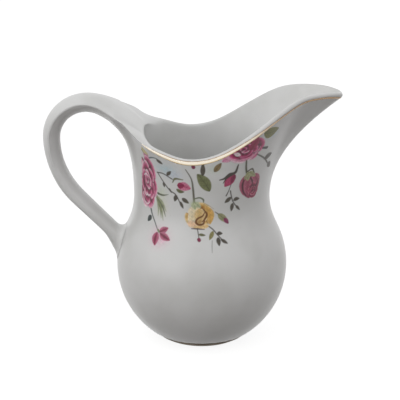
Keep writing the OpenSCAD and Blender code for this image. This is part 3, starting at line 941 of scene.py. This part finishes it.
def paint_large_rosebud(t):
    """The opening bud under the beak, with its sepals."""
    petal = ("a04460", "c27e90", "560c22")
    sepal = ("a3a37c", "bfc09c", "6f704c")
    maroon = "40081a"
    t.stroke([(30, 145.8), (30.9, 139.6), (32.5, 134.7)], [1.2, 1.5, 1.8], "4a4a38")
    t.leaf((34.6, 136), (36.4, 116.2), 15.5, ("7a1e3c", "9a4260", "560c22"), full=1.0, vein=0.3)
    t.leaf((31.9, 134.8), (30.8, 119.4), 6.4, petal, bend=-1.4)
    t.leaf((34, 133), (34.8, 117.2), 7, petal)
    t.leaf((37.2, 134.2), (44.6, 122.2), 7, petal, bend=1.8)
    t.rose((39.6, 121.7), 5.4, 0.5, BUD_RINGS, BUD)
    t.stroke([(31, 133), (29.6, 127.7), (30.6, 122.2), (33.6, 118.7)], [0.8, 1.5, 1.3, 0.7], maroon)
    t.stroke([(34.8, 132.4), (38, 129), (38.4, 126)], [0.9, 1.5, 0.8], maroon)
    t.stroke([(44.2, 129), (43.2, 125.4), (41.6, 124.4)], [0.7, 1.4, 0.6], maroon)
    t.leaf((33.2, 137), (33.8, 129.6), 4.6, sepal)
    t.leaf((34, 136.6), (40.6, 132), 3.8, sepal)
    t.leaf((33, 136), (30.6, 131), 2.6, sepal)
    t.stroke([(32.4, 137.3), (36.2, 138.4), (38.9, 134.9)], [0.9, 1.4, 0.7], "4c4838")


def paint_spray(t):
    """The whole rose spray, from what lies behind to what lies in front."""
    paint_washes(t)
    paint_handle_rose(t)
    paint_bud_sprigs(t)
    paint_yellow_rose(t)
    paint_lip_leaf(t)
    paint_low_sprigs(t)
    paint_lip_rose(t)
    paint_small_rosebud(t)
    paint_large_rosebud(t)


# The sheet of the transfer: its edges, the roll that it starts as, its easing and its thinnest ink
ACROSS_MM = (-60.0, 62.0)
UP_MM = (79.0, 172.0)
ROLL_RADIUS = 0.13
ROLL_DEPTH = 0.105
BAND_BINS = 40
SHEET_STEPS = 8
THINNEST_INK = 0.002


def turn_of(points):
    """How far round from the front the points lie, in millimetres on the neck."""
    return TURN_RADIUS_MM * (np.arctan2(points[:, 1], points[:, 0]) + math.pi / 2)


def band_height(across):
    """Height of the middle of the gilt line on the near side, in millimetres."""
    points = places(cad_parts["gilt_line"])
    points = points[points[:, 1] < 0]
    turns = turn_of(points)
    edges = np.linspace(turns.min(), turns.max(), BAND_BINS + 1)
    slot = np.clip(np.digitize(turns, edges) - 1, 0, BAND_BINS - 1)
    count = np.bincount(slot, minlength=BAND_BINS)
    total = np.bincount(slot, weights=points[:, 2] / MM, minlength=BAND_BINS)
    full = count > 0
    middles = (edges[:-1] + edges[1:])[full] / 2
    return np.interp(across, middles, total[full] / count[full])


def rolled_sheet(name, settings):
    """A fine flat grid, rolled round the ewer outside its lip."""
    bpy.ops.object.select_all(action="DESELECT")
    step = settings.step / MM
    columns = round((ACROSS_MM[1] - ACROSS_MM[0]) / step)
    rows = round((UP_MM[1] - UP_MM[0]) / step)
    bpy.ops.mesh.primitive_grid_add(x_subdivisions=columns, y_subdivisions=rows, size=1)
    sheet = bpy.context.object
    sheet.name = name
    sheet.data.name = name
    shares = places(sheet) + 0.5
    turn = (ACROSS_MM[0] + shares[:, 0] * (ACROSS_MM[1] - ACROSS_MM[0])) / TURN_RADIUS_MM - math.pi / 2
    up = (UP_MM[0] + shares[:, 1] * (UP_MM[1] - UP_MM[0])) * MM
    put(sheet, np.stack([ROLL_RADIUS * np.cos(turn), ROLL_RADIUS * np.sin(turn), up], -1))
    return sheet


def press_on(sheet, body, lift):
    """Presses a rolled sheet inwards on to the body, drops what misses it and smooths it."""
    modify(sheet, "SHRINKWRAP", target=body, wrap_method="PROJECT", use_negative_direction=True,
           use_positive_direction=True, project_limit=ROLL_DEPTH, offset=lift)
    points = places(sheet)
    missed = np.hypot(points[:, 0], points[:, 1]) > ROLL_RADIUS - MM
    drop_faces(sheet, [bool(missed[list(face.vertices)].any()) for face in sheet.data.polygons])
    modify(sheet, "SMOOTH", iterations=SHEET_STEPS, factor=EASE_FACTOR)


def print_on(sheet, settings):
    """Prints the spray on a pressed sheet and trims the sheet to what is printed."""
    points = places(sheet)
    across, up = turn_of(points), points[:, 2] / MM
    transfer = Transfer(across, up)
    paint_spray(transfer)
    transfer.mottle()
    shown = (points[:, 0] > settings.cut) & (up < band_height(across))
    cover = np.where(shown, transfer.cover, 0)
    paint = np.where(shown[:, None], transfer.paint * settings.strength, 0)
    layer = sheet.data.attributes.new(PRINT_LAYER, "FLOAT_COLOR", "POINT")
    layer.data.foreach_set("color", np.column_stack([paint, cover]).astype(np.float32).ravel())
    bare = cover <= THINNEST_INK
    drop_faces(sheet, [bool(bare[list(face.vertices)].all()) for face in sheet.data.polygons])
    bpy.ops.object.shade_smooth()


def mirrored(sheet, name):
    """A copy of a sheet on the far side of the ewer."""
    copy = copied(sheet, name)
    put(copy, places(copy) * (1, -1, 1))
    with editing("SELECT"):
        bpy.ops.mesh.flip_normals()
    return copy


def draw_up(line):
    """Lifts the edges of the gilt line and notes each point's place across it.

    The lower edge is lifted all along. The upper one is drawn over the lip's crown, but not on the beak.
    """
    points = places(line)
    moved = points.copy()
    rise = np.full(len(points), 0.5, np.float32)
    for edge, is_open in zip(line.data.edges, open_edges(line.data)):
        if not is_open:
            low, high = sorted(edge.vertices, key=lambda i: points[i, 2])
            across = points[high] - points[low]
            beak = ramp(*BEAK_MM, points[low, 0] / MM)
            moved[high] += across * CROWN_SHARE * (1 - beak)
            moved[low] += across * NARROW_SHARE
            rise[low] = 0
            rise[high] = 1
    put(line, moved)
    line.data.attributes.new(GILT_LAYER, "FLOAT", "POINT").data.foreach_set("value", rise)


# The pieces, each with its operator

class EWER_OT_clay(Operator):
    """Round the cast body and the strap handle, ease the joint between them and glaze them"""

    bl_idname = "ewer.clay"
    bl_label = "Glazed body and handle"

    def execute(self, context):
        glaze = context.scene.ewer_glaze
        body = node_copy("body", "glazed_body")
        handle = node_copy("handle", "strap_handle")
        slip = node_copy("upper_slip_joint", "upper_slip")
        body_glaze = glaze_finish("body_glaze", glaze)
        handle_glaze = glaze_finish("handle_glaze", glaze)
        for piece, finish in ((body, body_glaze), (handle, handle_glaze), (slip, handle_glaze)):
            drop_faces(piece, faces_in_joint(piece))
            piece.data.materials.append(finish)
        weld(body, handle, slip)
        crease(body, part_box("foot_ring")[1].z + FOOT_MARGIN)
        refine(body)
        draw_edges(body, body.data.materials.find(handle_glaze.name))
        x, _, z = places(body).T / MM
        spur = ramp(*SPUR_FRONT_MM, x) * ramp(*SPUR_BACK_MM, x) * ramp(*SPUR_RISE_MM, z)
        ease(body, spur, SPUR_STEPS)
        hold_seam(body)
        with editing("SELECT"):
            bpy.ops.mesh.separate(type="MATERIAL")
        for piece in list(context.selected_objects):
            name, nodes = "glazed_body", ["body"]
            if piece.data.materials[0] == handle_glaze:
                name, nodes = "strap_handle", ["handle", "upper_slip_joint"]
            piece.name = piece.data.name = name
            use_seam(piece)
            tie(piece, "porcelain", *nodes)
        return {"FINISHED"}


class EWER_OT_slip(Operator):
    """Round the slip that joins the handle's tail to the belly"""

    bl_idname = "ewer.slip"
    bl_label = "Lower slip joint"

    def execute(self, context):
        slip = node_copy("lower_slip_joint", "lower_slip")
        crease(slip, math.inf)
        refine(slip)
        slip.data.materials.append(glaze_finish("slip_glaze", context.scene.ewer_glaze))
        tie(slip, "porcelain", "lower_slip_joint")
        return {"FINISHED"}


class EWER_OT_gilt(Operator):
    """Lay the gilt line round the lip and burnish it"""

    bl_idname = "ewer.gilt"
    bl_label = "Gilt lip line"

    def execute(self, context):
        settings = context.scene.ewer_gilt
        line = node_copy("gilt_line", "gilt_lip_line")
        clay = surface_tree(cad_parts["body"].data)
        lifts = []
        for face in line.data.polygons:
            foot = clay.find_nearest(face.center)[0]
            lifts.append(face.normal.dot(face.center - foot))
        least = OUTER_LIFT_SHARE * max(lifts)
        drop_faces(line, [lift < least for lift in lifts])
        draw_up(line)
        refine(line)
        modify(line, "SHRINKWRAP", target=bpy.data.objects["glazed_body"], offset=settings.film)
        modify(line, "SOLIDIFY", thickness=settings.film, offset=1.0)
        line.data.materials.append(gilt_finish("burnished_gilt", settings))
        tie(line, "gilt", "gilt_line")
        return {"FINISHED"}


class EWER_OT_foot(Operator):
    """Finish the bare clay of the turned foot ring"""

    bl_idname = "ewer.foot"
    bl_label = "Bare foot ring"

    def execute(self, context):
        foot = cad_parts["foot_ring"]
        foot.data.materials.clear()
        foot.data.materials.append(biscuit_finish("bare_clay", context.scene.ewer_glaze))
        return {"FINISHED"}


class EWER_OT_transfer(Operator):
    """Print the rose spray on the front of the ewer and its mirror image on the rear"""

    bl_idname = "ewer.transfer"
    bl_label = "Rose transfers"

    def execute(self, context):
        settings = context.scene.ewer_print
        finish = glaze_finish("printed_glaze", context.scene.ewer_glaze, printed=True)
        front = rolled_sheet("rose_transfer_front", settings)
        press_on(front, bpy.data.objects["glazed_body"], settings.lift)
        print_on(front, settings)
        rear = mirrored(front, "rose_transfer_rear")
        for sheet in (front, rear):
            sheet.data.materials.append(finish)
            tie(sheet, "porcelain")
        return {"FINISHED"}


# The stage

def seen_rays(tree):
    """1 for the rays that show the surroundings, and 0 for those that light the ewer."""
    path = tree.nodes.new("ShaderNodeLightPath")
    camera, glossy, clear = (Socket(tree, path.outputs[f"Is {kind} Ray"])
                             for kind in ("Camera", "Glossy", "Transmission"))
    return camera.at_least(glossy).at_least(clear)


def floor_finish(name):
    """A floor that is seen white, keeps the shadow and throws little light back."""
    finish = bpy.data.materials.new(name)
    finish.use_nodes = True
    tree = finish.node_tree
    tree.nodes.remove(tree.nodes["Principled BSDF"])
    seen = seen_rays(tree)
    shaded = seen.node("ShaderNodeBsdfDiffuse", {}, {"Color": opaque(tint(FLOOR_SHADE))})
    glow = seen.node("ShaderNodeEmission", {}, {"Color": WHITE, "Strength": FLOOR_GLOW})
    dim = seen.node("ShaderNodeBsdfDiffuse", {}, {"Color": opaque(tint(FLOOR_BOUNCE))})
    backdrop = seen.node("ShaderNodeAddShader", {}, {0: shaded, 1: glow})
    shader = seen.node("ShaderNodeMixShader", {}, {0: seen, 1: dim, 2: backdrop})
    shader.feed(tree.nodes["Material Output"], "Surface")
    return finish


def white_surround(level):
    """A world that is seen white and gives light of that level, which fades out downwards."""
    world = bpy.data.worlds.new("white_surround")
    world.use_nodes = True
    tree = world.node_tree
    tree.nodes.remove(tree.nodes["Background"])
    seen = seen_rays(tree)
    white = seen.node("ShaderNodeBackground", {}, {"Color": WHITE, "Strength": 1.0})
    way = Socket(tree, tree.nodes.new("ShaderNodeTexCoord").outputs["Generated"])
    strength = way.coordinate("Z").step(*SKY_FADE) * level
    light = seen.node("ShaderNodeBackground", {}, {"Color": WHITE, "Strength": strength})
    shader = seen.node("ShaderNodeMixShader", {}, {0: seen, 1: light, 2: white})
    shader.feed(tree.nodes["World Output"], "Surface")
    return world


class EWER_OT_stage(Operator):
    """Set the floor, the soft lamps and the camera"""

    bl_idname = "ewer.stage"
    bl_label = "Stage"

    def lamp(self, name, towards, level, settings):
        """A soft lamp, half as high as wide, that gives a facing surface that level of its colour."""
        middle = Vector(settings.camera_aim)
        place = middle + Vector(towards).normalized() * settings.lamp_reach
        turn = (middle - place).to_track_quat("-Z", "Y").to_euler()
        bpy.ops.object.light_add(type="AREA", location=place, rotation=turn)
        lamp = bpy.context.object
        lamp.name = name
        lamp.data.shape = "RECTANGLE"
        lamp.data.size = settings.lamp_size
        lamp.data.size_y = settings.lamp_size / 2
        lamp.data.energy = level * (math.pi * settings.lamp_reach) ** 2

    def execute(self, context):
        settings = context.scene.ewer_stage
        bpy.ops.object.select_all(action="DESELECT")
        bpy.ops.mesh.primitive_plane_add(size=settings.floor_size, location=(0, 0, -settings.floor_gap))
        floor = bpy.context.object
        floor.name = "floor"
        floor.data.materials.append(floor_finish("white_floor"))
        context.scene.world = white_surround(settings.surround)
        self.lamp("key_lamp", KEY_WAY, settings.key_level, settings)
        self.lamp("top_lamp", TOP_WAY, settings.top_level, settings)
        self.lamp("side_lamp", SIDE_WAY, settings.side_level, settings)
        aim = Vector(settings.camera_aim)
        rise = settings.camera_rise
        back = Vector((0, -math.cos(rise), math.sin(rise)))
        bpy.ops.object.camera_add(location=aim + back * settings.camera_reach,
                                  rotation=(math.pi / 2 - rise, 0, 0))
        camera = bpy.context.object
        camera.data.angle = settings.camera_view
        context.scene.camera = camera
        context.scene.view_settings.view_transform = "Standard"
        return {"FINISHED"}


class EWER_PT_sidebar(Panel):
    """Lists the pieces of the ewer and their settings"""

    bl_label = "Ewer"
    bl_idname = "EWER_PT_sidebar"
    bl_space_type = "VIEW_3D"
    bl_region_type = "UI"
    bl_category = "Ewer"

    def draw(self, context):
        for operator in OPERATORS:
            self.layout.operator(operator.bl_idname)
        for name, group in SETTINGS.items():
            box = self.layout.box()
            settings = getattr(context.scene, name)
            for key in group.__annotations__:
                box.prop(settings, key)


SETTINGS = {
    "ewer_glaze": EwerGlazeSettings,
    "ewer_gilt": EwerGiltSettings,
    "ewer_print": EwerPrintSettings,
    "ewer_stage": EwerStageSettings,
}
OPERATORS = (
    EWER_OT_stage, EWER_OT_clay, EWER_OT_slip, EWER_OT_gilt, EWER_OT_foot, EWER_OT_transfer,
)


def register():
    for group in (*SETTINGS.values(), *OPERATORS, EWER_PT_sidebar):
        bpy.utils.register_class(group)
    for name, group in SETTINGS.items():
        setattr(bpy.types.Scene, name, PointerProperty(type=group))


def unregister():
    for name in SETTINGS:
        delattr(bpy.types.Scene, name)
    for group in (EWER_PT_sidebar, *OPERATORS, *SETTINGS.values()):
        bpy.utils.unregister_class(group)


def main():
    register()
    bpy.ops.ewer.stage()
    bpy.ops.ewer.clay()
    bpy.ops.ewer.slip()
    bpy.ops.ewer.gilt()
    bpy.ops.ewer.foot()
    bpy.ops.ewer.transfer()


if __name__ == "__main__":
    main()
